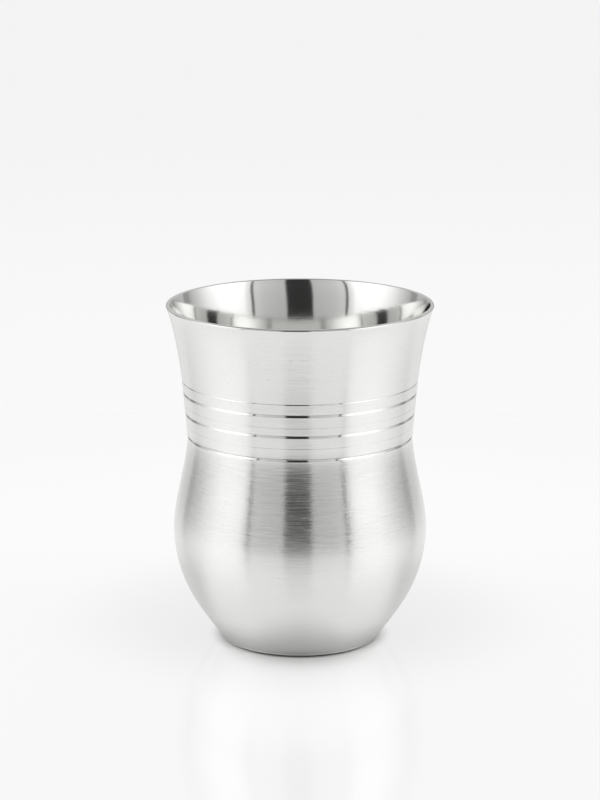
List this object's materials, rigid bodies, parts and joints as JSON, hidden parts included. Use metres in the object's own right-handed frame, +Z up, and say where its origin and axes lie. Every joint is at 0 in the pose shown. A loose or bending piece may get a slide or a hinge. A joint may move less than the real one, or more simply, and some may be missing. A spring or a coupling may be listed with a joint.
{
  "type": "metal drinking tumbler",
  "caption": "Waisted nickel silver tumbler with a flared rim, turned bands round the neck, a round belly and a narrow foot, for drinking water.",
  "frame": {"origin": "centre of the foot's underside, on the surface that the tumbler stands on", "axes": "+Z up along the axis of turning, from the foot to the lip; X and Y are alike, since the tumbler is round"},
  "size_m": [0.07, 0.07, 0.09],
  "materials": {
    "satin_nickel_silver": "outside brushed to a satin in fine lines round the axis, turned grooves and inside polished bright",
    "polished_nickel_silver": "bright, with faint turning marks round the centre",
    "silver_solder": "smooth, a little whiter than the sheet"
  },
  "bodies": {
    "root": {"belly_shell": "satin_nickel_silver", "neck_sleeve": "satin_nickel_silver", "base_disc": "polished_nickel_silver", "waist_solder": "silver_solder", "base_solder": "silver_solder"}
  },
  "joints": []
}
